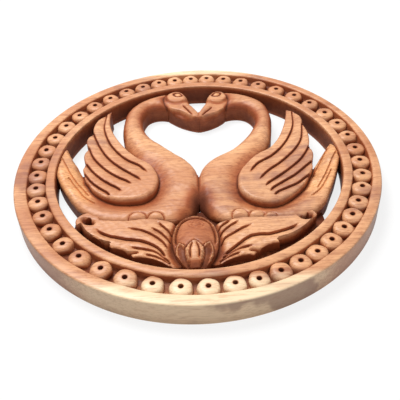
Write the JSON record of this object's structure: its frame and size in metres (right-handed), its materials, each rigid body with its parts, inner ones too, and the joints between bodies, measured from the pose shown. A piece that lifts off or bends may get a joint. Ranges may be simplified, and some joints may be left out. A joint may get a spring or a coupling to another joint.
{
  "type": "carved wall panel",
  "caption": "Round openwork panel of carved wood for a wall: facing swans whose necks form a heart over a lotus bud and leaves, a ring of punched bosses, a hanging ring behind.",
  "frame": {"origin": "centre of the round board on its flat back", "axes": "+Z out of the carved face, +Y towards the swans' heads, which is up on a wall, +X to the right seen from the face"},
  "size_m": [0.3, 0.3, 0.02],
  "materials": {
    "carved_wood": "oiled satin wood with dark recesses",
    "hanger_steel": "zinc plated steel"
  },
  "bodies": {
    "panel": {"frame_ring": "carved_wood", "rim_bosses": "carved_wood", "left_swan": "carved_wood", "left_head": "carved_wood", "left_wing": "carved_wood", "right_swan": "carved_wood", "right_head": "carved_wood", "right_wing": "carved_wood", "ground_web": "carved_wood", "lotus_bud": "carved_wood", "left_leaf": "carved_wood", "right_leaf": "carved_wood", "hanger_strap": "hanger_steel", "hanger_screw": "hanger_steel"},
    "hanger": {"hanger_ring": "hanger_steel"}
  },
  "joints": [
    {"name": "hanger_swing", "type": "hinge", "parent": "panel", "child": "hanger", "pos_m": [0, 0.135, 0.00202], "axis": [-1, 0, 0], "range_deg": [0, 150]}
  ]
}
